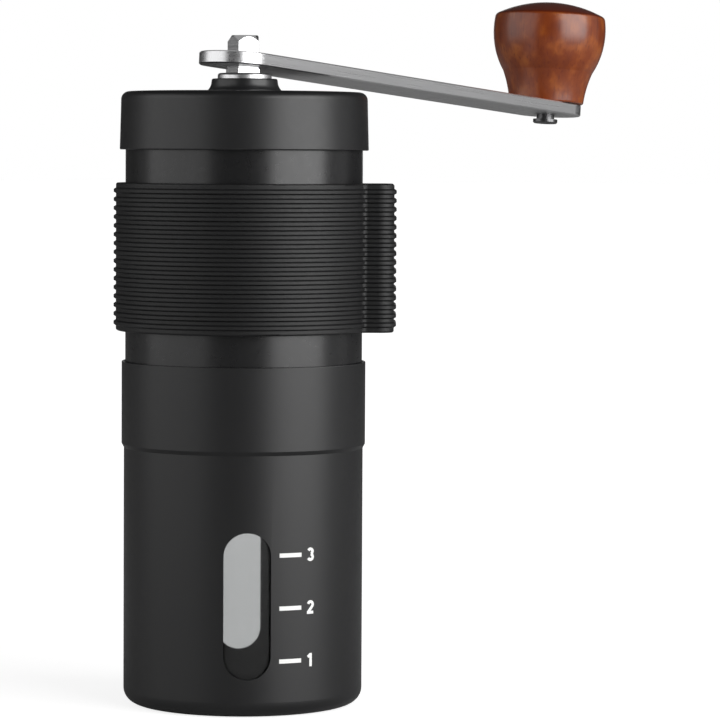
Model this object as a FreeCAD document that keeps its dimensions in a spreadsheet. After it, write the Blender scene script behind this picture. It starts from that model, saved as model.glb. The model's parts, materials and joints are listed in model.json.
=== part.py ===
# Hand crank coffee grinder with conical ceramic burrs. A windowed cup with a clear liner carries a
# tube that holds the burrs, a lid, and a crank that pulls off and stores in the grip band's loop.
# Millimetres and degrees, +Z up, front at -Y, origin in the middle of the cup's underside.
import FreeCAD, Part
import math
import os
import re
import Sketcher

SIZES = {
    # Clearances: sliding pieces, pressed pieces, and a shaft or face that turns on another
    "slip_gap": 0.1,
    "press_gap": 0.03,
    "running_gap": 0.05,
    # Sheet-steel cup with a widened rim, an inside ledge and two windows in line
    "sheet_wall": 0.6,
    "sheet_edge_round": 0.15,
    "cup_height": 68.0,
    "cup_floor": 0.8,
    "cup_round": 3.0,
    "cup_ledge": 0.35,
    "rim_height": 16.3,
    "rim_step": 0.8,
    "window_width": 9.2,
    "window_height": 28.6,
    "window_sill": 7.4,
    "window_azimuth": 3.9,
    # Clear liner that drops into the cup
    "liner_wall": 1.2,
    "liner_floor": 1.5,
    "liner_drop": 0.8,
    "liner_round": 1.5,
    "liner_edge_round": 0.3,
    # Sheet-steel tube
    "tube_od": 47.0,
    "tube_height": 66.4,
    # Lid with a skirt over the tube
    "lid_plate": 2.0,
    "lid_height": 11.5,
    "lid_wall": 0.75,
    "lid_flare": 0.3,
    "lid_round_share": 0.8,
    "lid_edge_round": 0.25,
    # Moulded collar that snaps into the lid, and the steel eyelet in it
    "collar_wall": 2.1,
    "collar_flare": 0.8,
    "collar_height": 2.6,
    "collar_foot": 0.35,
    "collar_sweep": 1.5,
    "collar_sweep_round": 2.4,
    "collar_taper": 0.1,
    "tail_wall": 1.1,
    "snap_height": 1.0,
    "snap_lip": 0.5,
    "eyelet_gap": 0.25,
    "eyelet_wall": 0.4,
    "eyelet_lip": 1.0,
    "eyelet_flange": 1.1,
    "eyelet_depth": 2.5,
    # Rubber grip band with ribs and a loop that the crank's arm slides into
    "band_rise": 6.1,
    "band_height": 29.2,
    "band_wall": 1.85,
    "band_round": 0.4,
    "rib_count": 16,
    "rib_pitch": 1.74,
    "rib_foot": 1.15,
    "rib_crest": 0.55,
    "rib_height": 0.45,
    "loop_wall": 1.3,
    "loop_play": 0.55,
    "loop_side_play": 0.5,
    "loop_corner": 3.0,
    "loop_inside_corner": 1.7,
    "loop_fillet": 1.2,
    # Moulded housing of the burrs, with its funnel
    "flange_height": 1.2,
    "burr_wall": 5.7,
    "throat_step": 0.6,
    "throat_height": 1.5,
    "funnel_height": 9.5,
    "funnel_lip": 1.0,
    "key_radius": 1.4,
    # Outer burr: a toothed ring
    "ring_height": 13.0,
    "ring_wall": 4.4,
    "ring_flare": 1.4,
    "ring_teeth": 24,
    "ring_tooth_depth": 1.0,
    "ring_tooth_width": 1.6,
    "ring_twist": 14.0,
    # Retainer of the outer burr and its screws
    "retainer_rise": 0.6,
    "retainer_height": 2.4,
    "retainer_lip": 3.6,
    "retainer_mouth": 1.6,
    "retainer_bevel": 0.8,
    "screw_count": 3,
    "screw_radius": 1.0,
    "screw_length": 6.0,
    "screw_head_radius": 1.55,
    "screw_head_height": 1.2,
    "socket_radius": 0.8,
    "socket_depth": 0.7,
    # Bearing bridge: ring, arms and sleeve
    "bridge_wall": 2.0,
    "bridge_height": 6.0,
    "bridge_arms": 3,
    "bridge_arm_width": 3.2,
    "bridge_arm_height": 8.0,
    "bridge_arm_peak": 1.4,
    "bridge_arm_rise": 1.0,
    "sleeve_drop": 0.7,
    "sleeve_height": 13.7,
    "sleeve_wall": 2.1,
    # Flanged bushes and the thrust washer
    "bush_wall": 1.0,
    "bush_length": 6.0,
    "bush_flange": 1.0,
    "bush_lip": 1.3,
    "washer_height": 0.8,
    "washer_lip": 2.1,
    # Drive shaft with a five-sided top, two flats for the inner burr and a threaded end
    "drive_corner": 3.4,
    "drive_stickout": 3.85,
    "nose_height": 1.25,
    "nose_inset": 0.83,
    "shoulder_step": 0.3,
    "shoulder_depth": 3.0,
    "journal_radius": 3.0,
    "shaft_collar_lip": 1.6,
    "shaft_collar_height": 2.0,
    "flat_depth": 0.7,
    "thread_radius": 2.0,
    "thread_runout": 0.5,
    "stub_length": 2.0,
    "stub_bevel": 0.4,
    # Spring between the thrust washer and the inner burr
    "wire_diameter": 0.9,
    "spring_room": 0.7,
    "spring_turns": 5,
    "spring_reach": 4.4,
    "spring_pocket": 6.0,
    # Inner burr: a toothed cone with long flutes above fine teeth
    "burr_gap": 0.5,
    "burr_rise": 1.0,
    "skirt_height": 2.5,
    "cone_tip_wall": 2.4,
    "fine_teeth": 24,
    "fine_tooth_depth": 1.0,
    "fine_tooth_width": 1.5,
    "fine_height": 7.5,
    "fine_twist": 16.0,
    "flute_count": 6,
    "flute_depth": 1.4,
    "flute_width": 3.0,
    "flute_twist": 42.0,
    # Notched ring under the inner burr
    "click_radius": 8.0,
    "click_height": 2.0,
    "notch_count": 12,
    "notch_radius": 0.6,
    "notch_depth": 0.5,
    "notch_inset": 1.4,
    # Grind-setting nut and its threaded insert
    "nut_radius": 9.0,
    "nut_height": 7.0,
    "nut_round": 0.8,
    "lobe_count": 8,
    "lobe_radius": 2.4,
    "lobe_depth": 1.0,
    "nub_count": 4,
    "nub_radius": 0.5,
    "nub_height": 0.4,
    "hex_corner": 4.0,
    "hex_height": 5.5,
    "hex_sink": 0.3,
    # Crank arm, which sags a little on its loose drive
    "arm_width": 14.6,
    "arm_thickness": 2.5,
    "arm_bevel": 0.22,
    "crank_length": 109.1,
    "crank_azimuth": 54.0,
    "crank_sag": 4.27,
    "hub_gap": 1.1,
    "hub_back": 2.9,
    "tip_front": 0.8,
    "drive_gap": 0.12,
    # Turned knob, its threaded insert and its stepped screw
    "knob_base_radius": 8.2,
    "knob_flare_radius": 9.9,
    "knob_flare_height": 7.0,
    "knob_flare_round": 24.0,
    "knob_shoulder_radius": 12.1,
    "knob_belly_height": 12.3,
    "knob_belly_round": 17.5,
    "knob_dome_height": 3.0,
    "knob_edge_round": 1.1,
    "knob_base_round": 0.4,
    "insert_radius": 3.0,
    "insert_length": 12.0,
    "pin_radius": 1.95,
    "pin_play": 1.0,
    "pin_thread_radius": 1.5,
    "pin_thread_length": 9.0,
    "pin_head_radius": 2.7,
    "pin_head_height": 0.9,
    "pin_head_bevel": 0.25,
    "pin_socket_radius": 1.2,
}

# Cup and liner
TUBE_R = "(tube_od / 2)"
TUBE_BORE = "(tube_od / 2 - sheet_wall)"
CUP_BORE = "(tube_od / 2 - cup_ledge)"
CUP_R = f"({CUP_BORE} + sheet_wall)"
RIM_BORE = "(tube_od / 2 + slip_gap)"
RIM_R = f"({RIM_BORE} + sheet_wall)"
LEDGE_Z = "(cup_height - rim_height)"
CUP_INSIDE_ROUND = "(cup_round - sheet_wall)"
WINDOW_TOP = "(window_sill + window_height)"
LINER_R = f"({CUP_BORE} - slip_gap)"
LINER_BORE = f"({LINER_R} - liner_wall)"
LINER_TOP = f"({LEDGE_Z} - liner_drop)"
LINER_FLOOR_Z = "(cup_floor + liner_floor)"
# Tube, lid and collar
TUBE_Z = f"({LEDGE_Z} + flange_height)"
TUBE_TOP = f"({TUBE_Z} + tube_height)"
LID_TOP = f"({TUBE_TOP} + lid_plate)"
LID_Z = f"({LID_TOP} - lid_height)"
LID_R = f"({RIM_BORE} + lid_wall)"
SHOULDER_R = "(drive_corner + shoulder_step)"
EYELET_BORE = f"({SHOULDER_R} + eyelet_gap)"
EYELET_R = f"({EYELET_BORE} + eyelet_wall)"
COLLAR_BORE = f"({EYELET_R} + press_gap)"
COLLAR_R = f"({COLLAR_BORE} + collar_wall)"
COLLAR_TOP = f"({LID_TOP} + collar_height)"
TAIL_R = f"({COLLAR_BORE} + tail_wall)"
LID_HOLE = f"({TAIL_R} + slip_gap)"
SNAP_TOP = f"({TUBE_TOP} - running_gap)"
# Grip band and its loop
BAND_Z = "(cup_height + band_rise)"
BAND_BORE = f"({TUBE_R} + press_gap)"
BAND_R = f"({BAND_BORE} + band_wall)"
LOOP_X = f"({BAND_R} + arm_thickness + loop_play)"
LOOP_Y = "(arm_width / 2 + loop_side_play)"
STRAP_X = f"({LOOP_X} + loop_wall)"
STRAP_Y = f"({LOOP_Y} + loop_wall)"
FIRST_RIB_Z = f"({BAND_Z} + (band_height - (rib_count - 1) * rib_pitch) / 2)"
# Housing, outer burr and retainer
HOUSING_R = f"({TUBE_BORE} - slip_gap)"
RING_R = f"({HOUSING_R} - burr_wall)"
RING_SEAT = f"({RING_R} + slip_gap)"
RING_Z = f"({LEDGE_Z} + retainer_rise + retainer_height)"
RING_TOP = f"({RING_Z} + ring_height)"
RING_BORE = f"({RING_R} - ring_wall)"
RING_MOUTH = f"({RING_BORE} + ring_flare)"
THROAT_R = f"({RING_MOUTH} + throat_step)"
FUNNEL_Z = f"({RING_TOP} + throat_height)"
HOUSING_TOP = f"({FUNNEL_Z} + funnel_height)"
RETAINER_Z = f"({LEDGE_Z} + retainer_rise)"
RETAINER_R = f"({RING_R} + retainer_lip)"
RETAINER_BORE = f"({RING_BORE} + retainer_mouth)"
SCREW_CIRCLE = f"({RING_R} + retainer_lip / 2)"
SCREW_SEAT_Z = f"({RETAINER_Z} + screw_head_height + slip_gap)"
# Bridge, bushes and washer
SLEEVE_Z = f"({HOUSING_TOP} - sleeve_drop)"
SLEEVE_TOP = f"({SLEEVE_Z} + sleeve_height)"
BUSH_BORE = "(journal_radius + running_gap)"
BUSH_R = f"({BUSH_BORE} + bush_wall)"
SLEEVE_BORE = f"({BUSH_R} + press_gap)"
SLEEVE_R = f"({SLEEVE_BORE} + sleeve_wall)"
THRUST_TOP = f"({SLEEVE_Z} - bush_flange - running_gap)"
THRUST_Z = f"({THRUST_TOP} - washer_height)"
# Inner burr, spring, notched ring and nut
CONE_Z = f"({RING_Z} + burr_rise)"
CONE_R = f"({RING_BORE} - burr_gap)"
CONE_TOP = f"({THRUST_Z} - spring_reach)"
SPRING_R = "(journal_radius + spring_room + wire_diameter / 2)"
POCKET_R = f"({SPRING_R} + wire_diameter / 2 + spring_room / 2)"
POCKET_Z = f"({CONE_TOP} - spring_pocket)"
TIP_R = f"({POCKET_R} + cone_tip_wall)"
SKIRT_TOP = f"({CONE_Z} + skirt_height)"
FLAT_HALF = "(journal_radius - flat_depth)"
CLICK_TOP = f"({CONE_Z} + click_height)"
NUT_TOP = f"({CONE_Z} - running_gap - nub_height)"
NUT_Z = f"({NUT_TOP} - nut_height)"
# Shaft and crank
SHAFT_COLLAR_Z = f"({SLEEVE_TOP} + bush_flange + running_gap)"
THREAD_TOP = f"({CLICK_TOP} + thread_runout)"
STUB_END = f"({NUT_Z} - stub_length)"
HUB_Z = f"({COLLAR_TOP} + eyelet_flange + hub_gap)"
SHOULDER_Z = f"({HUB_Z} - {SHOULDER_R} * tan(crank_sag) - running_gap)"
SHOULDER_LOW = f"({TUBE_TOP} - shoulder_depth)"
DRIVE_TOP = f"({HUB_Z} + arm_thickness + drive_stickout)"
DRIVE_SIDES = 5
HEX_SIDES = 6
DRIVE_CLOCK = "180"
SAG_SHIFT = "(arm_thickness / 2 * tan(crank_sag))"
CRANK_PLACE = f"placement(vector(0; 0; {HUB_Z}); rotation(crank_azimuth; crank_sag; 0))"
KNOB_PLACE = f"{CRANK_PLACE} * placement(vector(crank_length; 0; 0); rotation(0; 0; 0))"
KNOB_Z = "(arm_thickness + running_gap)"

# How near counts as the same place, how far a cut runs past the solid, and how far a tooth gap rises off it
NEAR = 1e-4
OVERCUT = "0.5"
RUNOUT = "0.125"

doc = FreeCAD.newDocument("coffee_grinder")
sheet = doc.addObject("Spreadsheet::Sheet", "sizes")
for row, (alias, size) in enumerate(SIZES.items(), start=1):
    sheet.set(f"A{row}", alias)
    sheet.set(f"B{row}", str(size))
    sheet.setAlias(f"B{row}", alias)
doc.recompute()


def bound(formula):
    """Give a formula with each size name read from the sheet."""
    return re.sub(r"[a-z_]+", lambda word: f"sizes.{word[0]}" if word[0] in SIZES else word[0], formula)


def number(formula):
    """Give a formula's present value."""
    return float(sheet.evalExpression(bound(formula)))


def turned(along, across, angle):
    """Give the x and y formulas of a point that is turned about the Z axis."""
    x = f"({along}) * cos({angle}) - ({across}) * sin({angle})"
    y = f"({along}) * sin({angle}) + ({across}) * cos({angle})"
    return x, y


def new_body(label, place=None):
    body = doc.addObject("PartDesign::Body", label)
    body.Label = label
    if place:
        body.setExpression("Placement", bound(place))
    return body


def origin_part(body, role):
    return next(part for part in body.Origin.OriginFeatures if part.Role == role)


def new_sketch(body, plane, height="0"):
    sketch = body.newObject("Sketcher::SketchObject", f"{body.Name}_sketch")
    sketch.AttachmentSupport = [(origin_part(body, plane), "")]
    sketch.MapMode = "FlatFace"
    sketch.setExpression("AttachmentOffset.Base.z", bound(height))
    return sketch


def dimension(sketch, kind, refs, formula):
    """Add a dimension to a sketch and bind it to a formula."""
    row = sketch.addConstraint(Sketcher.Constraint(kind, *refs, number(formula)))
    sketch.setExpression(f"Constraints[{row}]", bound(formula))


def locate(sketch, item, point, x, y):
    dimension(sketch, "DistanceX", (-1, 1, item, point), x)
    dimension(sketch, "DistanceY", (-1, 1, item, point), y)


def arc_between(start, finish, radius, turn):
    """Give the short arc between two points that bends left (turn 1) or right (turn -1)."""
    chord = finish - start
    rise = math.sqrt(max(radius ** 2 - chord.Length ** 2 / 4, 0))
    left = FreeCAD.Vector(-chord.y, chord.x).normalize()
    centre = (start + finish) / 2 + left * rise * turn
    first, last = (start, finish) if turn > 0 else (finish, start)
    angles = [math.atan2(point.y - centre.y, point.x - centre.x) for point in (first, last)]
    if angles[1] < angles[0]:
        angles[1] += 2 * math.pi
    return Part.ArcOfCircle(Part.Circle(centre, FreeCAD.Vector(0, 0, 1), radius), *angles)


def outline(sketch, corners):
    """Draw a closed outline through corners (x, y). A corner (x, y, radius, turn) starts an arc."""
    points = [FreeCAD.Vector(number(corner[0]), number(corner[1])) for corner in corners]
    ends = []
    for corner, start, finish in zip(corners, points, points[1:] + points[:1]):
        if len(corner) == 2:
            ends.append((sketch.addGeometry(Part.LineSegment(start, finish), False), 1, 2))
            continue
        radius, turn = corner[2:]
        item = sketch.addGeometry(arc_between(start, finish, number(radius), turn), False)
        ends.append((item, 1, 2) if turn > 0 else (item, 2, 1))
    for before, (item, first, _), corner in zip(ends[-1:] + ends[:-1], ends, corners):
        sketch.addConstraint(Sketcher.Constraint("Coincident", before[0], before[2], item, first))
        locate(sketch, item, first, corner[0], corner[1])
        if len(corner) > 2:
            dimension(sketch, "Radius", (item,), corner[2])


def circle(sketch, x, y, radius):
    middle = FreeCAD.Vector(number(x), number(y))
    item = sketch.addGeometry(Part.Circle(middle, FreeCAD.Vector(0, 0, 1), number(radius)), False)
    locate(sketch, item, 3, x, y)
    dimension(sketch, "Radius", (item,), radius)


def rectangle(sketch, left, low, right, high):
    outline(sketch, [(left, low), (right, low), (right, high), (left, high)])


def polygon(sketch, x, radius, sides, clock):
    """Draw a regular polygon about (x, 0) with its first corner at an angle."""
    corners = []
    for index in range(sides):
        along, across = turned(radius, "0", f"({clock} + {index} * 360 / {sides})")
        corners.append((f"{x} + {along}", across))
    outline(sketch, corners)


def feature(body, kind):
    return body.newObject(f"PartDesign::{kind}", f"{body.Name}_{kind.lower()}")


def settle(body, item, removes=False):
    """Recompute a new feature, and make sure that a cut has cut."""
    before = item.BaseFeature.Shape.Volume if item.BaseFeature else 0
    body.Tip = item
    doc.recompute()
    if removes and item.Shape.Volume > before - NEAR:
        raise RuntimeError(f"{item.Name} cuts nothing")
    return item


def revolve(body, corners, kind="Revolution"):
    """Turn an outline of (radius, height) corners about the Z axis, to add or to cut."""
    sketch = new_sketch(body, "XZ_Plane")
    outline(sketch, corners)
    item = feature(body, kind)
    item.Profile = sketch
    item.ReferenceAxis = (sketch, ["V_Axis"])
    item.Angle = 360
    return settle(body, item, removes=kind == "Groove")


def pad(body, sketch, length):
    item = feature(body, "Pad")
    item.Profile = sketch
    item.setExpression("Length", bound(length))
    return settle(body, item)


def pocket(body, sketch, depth=None, upward=False):
    """Cut a sketch down or up to a depth, or through everything both ways."""
    item = feature(body, "Pocket")
    item.Profile = sketch
    if depth:
        item.setExpression("Length", bound(depth))
        item.Reversed = upward
    else:
        item.Type = "ThroughAll"
        item.Midplane = True
    return settle(body, item, removes=True)


def around(body, originals, count):
    """Repeat features about the Z axis."""
    item = feature(body, "PolarPattern")
    item.Originals = originals
    item.Axis = (origin_part(body, "Z_Axis"), [""])
    item.Angle = 360
    item.setExpression("Occurrences", bound(count))
    return settle(body, item)


def soften(body, edges, size, kind="Fillet"):
    """Round or bevel the named edges of the body as it stands."""
    if not edges:
        raise RuntimeError(f"{body.Name} has no such edge")
    base = body.Tip
    item = feature(body, kind)
    item.Base = (base, edges)
    item.setExpression("Radius" if kind == "Fillet" else "Size", bound(size))
    return settle(body, item)


def round_edges(body, radius, height):
    """Name the circular edges about the Z axis with a radius and a height."""
    names = []
    for index, edge in enumerate(body.Tip.Shape.Edges, start=1):
        if edge.Degenerated or not isinstance(edge.Curve, Part.Circle):
            continue
        centre = edge.Curve.Center
        level = abs(centre.z - number(height)) < NEAR and math.hypot(centre.x, centre.y) < NEAR
        if level and abs(edge.Curve.Radius - number(radius)) < NEAR:
            names.append(f"Edge{index}")
    return names


def flat_edges(body, height):
    """Name the edges that lie flat at a height."""
    level = number(height)
    names = []
    for index, edge in enumerate(body.Tip.Shape.Edges, start=1):
        box = edge.BoundBox
        if abs(box.ZMin - level) < NEAR and abs(box.ZMax - level) < NEAR:
            names.append(f"Edge{index}")
    return names


def tooth_section(body, height, clock, half_width, mouth, root):
    """Draw the V of a tooth gap at an angle: its root on one radius, its straight mouth on another."""
    sketch = new_sketch(body, "XY_Plane", height)
    corners = [(mouth, f"-{half_width}"), (root, "0"), (mouth, half_width)]
    outline(sketch, [turned(along, across, clock) for along, across in corners])
    return sketch


def cut_teeth(body, low, high, count):
    """Cut slanted tooth gaps, each between a low and a high section, all round the body."""
    item = feature(body, "SubtractiveLoft")
    item.Profile = low
    item.Sections = [high]
    item.Ruled = True
    settle(body, item, removes=True)
    return around(body, [item], count)


def make_cup_shell():
    body = new_body("cup_shell", "placement(vector(0; 0; 0); rotation(window_azimuth; 0; 0))")
    revolve(body, [
        ("0", "0"), (CUP_R, "0"), (CUP_R, f"{LEDGE_Z} - rim_step"), (RIM_R, LEDGE_Z),
        (RIM_R, "cup_height"), (RIM_BORE, "cup_height"), (RIM_BORE, LEDGE_Z), (CUP_BORE, LEDGE_Z),
        (CUP_BORE, "cup_floor"), ("0", "cup_floor"),
    ])
    soften(body, round_edges(body, CUP_R, "0"), "cup_round")
    soften(body, round_edges(body, CUP_BORE, "cup_floor"), CUP_INSIDE_ROUND)
    soften(body, flat_edges(body, "cup_height"), "sheet_edge_round")
    window = new_sketch(body, "XZ_Plane")
    half = "window_width / 2"
    outline(window, [
        (half, f"window_sill + {half}"), (half, f"{WINDOW_TOP} - {half}", half, 1),
        ("0", WINDOW_TOP, half, 1), (f"-{half}", f"{WINDOW_TOP} - {half}"),
        (f"-{half}", f"window_sill + {half}", half, 1), ("0", "window_sill", half, 1),
    ])
    pocket(body, window)
    return body


def make_cup_liner():
    body = new_body("cup_liner")
    revolve(body, [
        ("0", "cup_floor"), (LINER_R, "cup_floor"), (LINER_R, LINER_TOP), (LINER_BORE, LINER_TOP),
        (LINER_BORE, LINER_FLOOR_Z), ("0", LINER_FLOOR_Z),
    ])
    soften(body, round_edges(body, LINER_R, "cup_floor"), CUP_INSIDE_ROUND)
    soften(body, round_edges(body, LINER_BORE, LINER_FLOOR_Z), "liner_round")
    soften(body, flat_edges(body, LINER_TOP), "liner_edge_round")
    return body


def make_body_tube():
    body = new_body("body_tube")
    revolve(body, [(TUBE_BORE, TUBE_Z), (TUBE_R, TUBE_Z), (TUBE_R, TUBE_TOP), (TUBE_BORE, TUBE_TOP)])
    soften(body, round_edges(body, TUBE_R, TUBE_TOP), "sheet_edge_round")
    return body


def make_lid_cap():
    body = new_body("lid_cap")
    revolve(body, [
        (LID_HOLE, TUBE_TOP), (RIM_BORE, TUBE_TOP), (RIM_BORE, LID_Z), (f"{LID_R} + lid_flare", LID_Z),
        (LID_R, LID_TOP), (LID_HOLE, LID_TOP),
    ])
    soften(body, round_edges(body, LID_R, LID_TOP), "lid_plate * lid_round_share")
    soften(body, round_edges(body, f"{LID_R} + lid_flare", LID_Z), "lid_edge_round")
    return body


def make_lid_collar():
    body = new_body("lid_collar")
    waist_z = f"{LID_TOP} + collar_foot + collar_sweep"
    revolve(body, [
        (COLLAR_BORE, f"{SNAP_TOP} - snap_height"), (TAIL_R, f"{SNAP_TOP} - snap_height"),
        (f"{LID_HOLE} + snap_lip", f"{SNAP_TOP} - snap_height / 2"), (f"{LID_HOLE} + snap_lip", SNAP_TOP),
        (TAIL_R, SNAP_TOP), (TAIL_R, LID_TOP), (f"{COLLAR_R} + collar_flare", LID_TOP),
        (f"{COLLAR_R} + collar_flare", f"{LID_TOP} + collar_foot", "collar_sweep_round", -1),
        (f"{COLLAR_R} + collar_taper", waist_z), (COLLAR_R, COLLAR_TOP), (COLLAR_BORE, COLLAR_TOP),
    ])
    soften(body, round_edges(body, COLLAR_R, COLLAR_TOP), "collar_foot")
    return body


def make_lid_eyelet():
    body = new_body("lid_eyelet")
    flange_r = f"({EYELET_R} + eyelet_lip)"
    flange_top = f"({COLLAR_TOP} + eyelet_flange)"
    revolve(body, [
        (EYELET_BORE, f"{COLLAR_TOP} - eyelet_depth"), (EYELET_R, f"{COLLAR_TOP} - eyelet_depth"),
        (EYELET_R, COLLAR_TOP), (flange_r, COLLAR_TOP), (flange_r, flange_top), (EYELET_BORE, flange_top),
    ])
    soften(body, round_edges(body, flange_r, flange_top), "eyelet_flange / 2")
    soften(body, round_edges(body, EYELET_BORE, flange_top), "eyelet_wall")
    return body


def band_outline(sketch):
    """Draw the band's plan: the ring's outside with the loop's strap blended into it at +X."""
    reach = f"({BAND_R} + loop_fillet)"
    blend_x = f"sqrt({reach}^2 - ({STRAP_Y} + loop_fillet)^2)"
    touch_x = f"{blend_x} * {BAND_R} / {reach}"
    touch_y = f"({STRAP_Y} + loop_fillet) * {BAND_R} / {reach}"
    turn_x = f"{STRAP_X} - loop_corner"
    turn_y = f"({STRAP_Y} - loop_corner)"
    outline(sketch, [
        (touch_x, touch_y, BAND_R, 1), ("0", BAND_R, BAND_R, 1), (f"-{BAND_R}", "0", BAND_R, 1),
        ("0", f"-{BAND_R}", BAND_R, 1), (touch_x, f"-{touch_y}", "loop_fillet", -1),
        (blend_x, f"-{STRAP_Y}"), (turn_x, f"-{STRAP_Y}", "loop_corner", 1), (STRAP_X, f"-{turn_y}"),
        (STRAP_X, turn_y, "loop_corner", 1), (turn_x, STRAP_Y), (blend_x, STRAP_Y, "loop_fillet", -1),
    ])


def make_grip_band():
    body = new_body("grip_band")
    plan = new_sketch(body, "XY_Plane", BAND_Z)
    band_outline(plan)
    pad(body, plan, "band_height")
    ends = flat_edges(body, BAND_Z) + flat_edges(body, f"{BAND_Z} + band_height")
    soften(body, ends, "band_round")
    path = new_sketch(body, "XY_Plane", FIRST_RIB_Z)
    band_outline(path)
    section = new_sketch(body, "XZ_Plane")
    foot_x = f"-{BAND_R} + rib_height / 2"
    crest_x = f"-{BAND_R} - rib_height"
    outline(section, [
        (foot_x, f"{FIRST_RIB_Z} - rib_foot / 2"), (foot_x, f"{FIRST_RIB_Z} + rib_foot / 2"),
        (f"-{BAND_R}", f"{FIRST_RIB_Z} + rib_foot / 2"), (crest_x, f"{FIRST_RIB_Z} + rib_crest / 2"),
        (crest_x, f"{FIRST_RIB_Z} - rib_crest / 2"), (f"-{BAND_R}", f"{FIRST_RIB_Z} - rib_foot / 2"),
    ])
    rib = feature(body, "AdditivePipe")
    rib.Profile = section
    rib.Spine = path
    settle(body, rib)
    ribs = feature(body, "LinearPattern")
    ribs.Originals = [rib]
    ribs.Direction = (origin_part(body, "Z_Axis"), [""])
    ribs.setExpression("Length", bound("(rib_count - 1) * rib_pitch"))
    ribs.setExpression("Occurrences", bound("rib_count"))
    settle(body, ribs)
    bore = new_sketch(body, "XY_Plane")
    circle(bore, "0", "0", BAND_BORE)
    pocket(body, bore)
    slot = new_sketch(body, "XY_Plane")
    root_x = f"sqrt({BAND_R}^2 - {LOOP_Y}^2)"
    turn_x = f"{LOOP_X} - loop_inside_corner"
    turn_y = f"({LOOP_Y} - loop_inside_corner)"
    outline(slot, [
        (root_x, f"-{LOOP_Y}"), (turn_x, f"-{LOOP_Y}", "loop_inside_corner", 1), (LOOP_X, f"-{turn_y}"),
        (LOOP_X, turn_y, "loop_inside_corner", 1), (turn_x, LOOP_Y), (root_x, LOOP_Y, BAND_R, -1),
    ])
    pocket(body, slot)
    return body


def make_burr_housing():
    body = new_body("burr_housing")
    recess_r = f"({RETAINER_R} + slip_gap)"
    revolve(body, [
        (recess_r, LEDGE_Z), (TUBE_R, LEDGE_Z), (TUBE_R, TUBE_Z), (HOUSING_R, TUBE_Z),
        (HOUSING_R, HOUSING_TOP), (f"{HOUSING_R} - funnel_lip", HOUSING_TOP), (THROAT_R, FUNNEL_Z),
        (THROAT_R, RING_TOP), (RING_SEAT, RING_TOP), (RING_SEAT, RING_Z), (recess_r, RING_Z),
    ])
    key = new_sketch(body, "XY_Plane", RING_Z)
    circle(key, f"-{RING_SEAT}", "0", "key_radius")
    around(body, [pad(body, key, "ring_height")], "screw_count")
    hole = new_sketch(body, "XY_Plane", RING_Z)
    circle(hole, SCREW_CIRCLE, "0", "screw_radius + press_gap")
    around(body, [pocket(body, hole, "screw_length", upward=True)], "screw_count")
    return body


def make_outer_burr():
    body = new_body("outer_burr")
    revolve(body, [(RING_BORE, RING_Z), (RING_R, RING_Z), (RING_R, RING_TOP), (RING_MOUTH, RING_TOP)])
    low_width = f"(ring_tooth_width * {RING_BORE} / {RING_MOUTH})"
    low = tooth_section(body, f"{RING_Z} - {OVERCUT}", "0", low_width,
                        f"({RING_BORE} - ring_tooth_depth / 2)", f"({RING_BORE} + ring_tooth_depth)")
    high = tooth_section(body, f"{RING_TOP} + {OVERCUT}", "ring_twist", "ring_tooth_width",
                         f"({RING_MOUTH} - ring_tooth_depth / 2)", f"({RING_MOUTH} + ring_tooth_depth)")
    cut_teeth(body, low, high, "ring_teeth")
    notch = new_sketch(body, "XY_Plane")
    circle(notch, f"-{RING_SEAT}", "0", "key_radius + slip_gap")
    around(body, [pocket(body, notch)], "screw_count")
    return body


def make_burr_retainer():
    body = new_body("burr_retainer")
    revolve(body, [
        (RETAINER_BORE, RETAINER_Z), (RETAINER_R, RETAINER_Z),
        (RETAINER_R, RING_Z), (RETAINER_BORE, RING_Z),
    ])
    soften(body, round_edges(body, RETAINER_BORE, RETAINER_Z), "retainer_bevel", "Chamfer")
    hole = new_sketch(body, "XY_Plane")
    circle(hole, SCREW_CIRCLE, "0", "screw_radius + slip_gap")
    seat = new_sketch(body, "XY_Plane", RETAINER_Z)
    circle(seat, SCREW_CIRCLE, "0", "screw_head_radius + slip_gap")
    cuts = [pocket(body, hole), pocket(body, seat, "screw_head_height + slip_gap", upward=True)]
    around(body, cuts, "screw_count")
    return body


def make_retainer_screws():
    body = new_body("retainer_screws")
    head = new_sketch(body, "XY_Plane", f"{SCREW_SEAT_Z} - screw_head_height")
    circle(head, SCREW_CIRCLE, "0", "screw_head_radius")
    shank = new_sketch(body, "XY_Plane", SCREW_SEAT_Z)
    circle(shank, SCREW_CIRCLE, "0", "screw_radius")
    reach = f"{RING_Z} + screw_length - slip_gap - {SCREW_SEAT_Z}"
    socket = new_sketch(body, "XY_Plane", f"{SCREW_SEAT_Z} - screw_head_height")
    polygon(socket, SCREW_CIRCLE, "socket_radius", HEX_SIDES, "0")
    parts = [pad(body, head, "screw_head_height"), pad(body, shank, reach)]
    parts.append(pocket(body, socket, "socket_depth", upward=True))
    around(body, parts, "screw_count")
    return body


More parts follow.
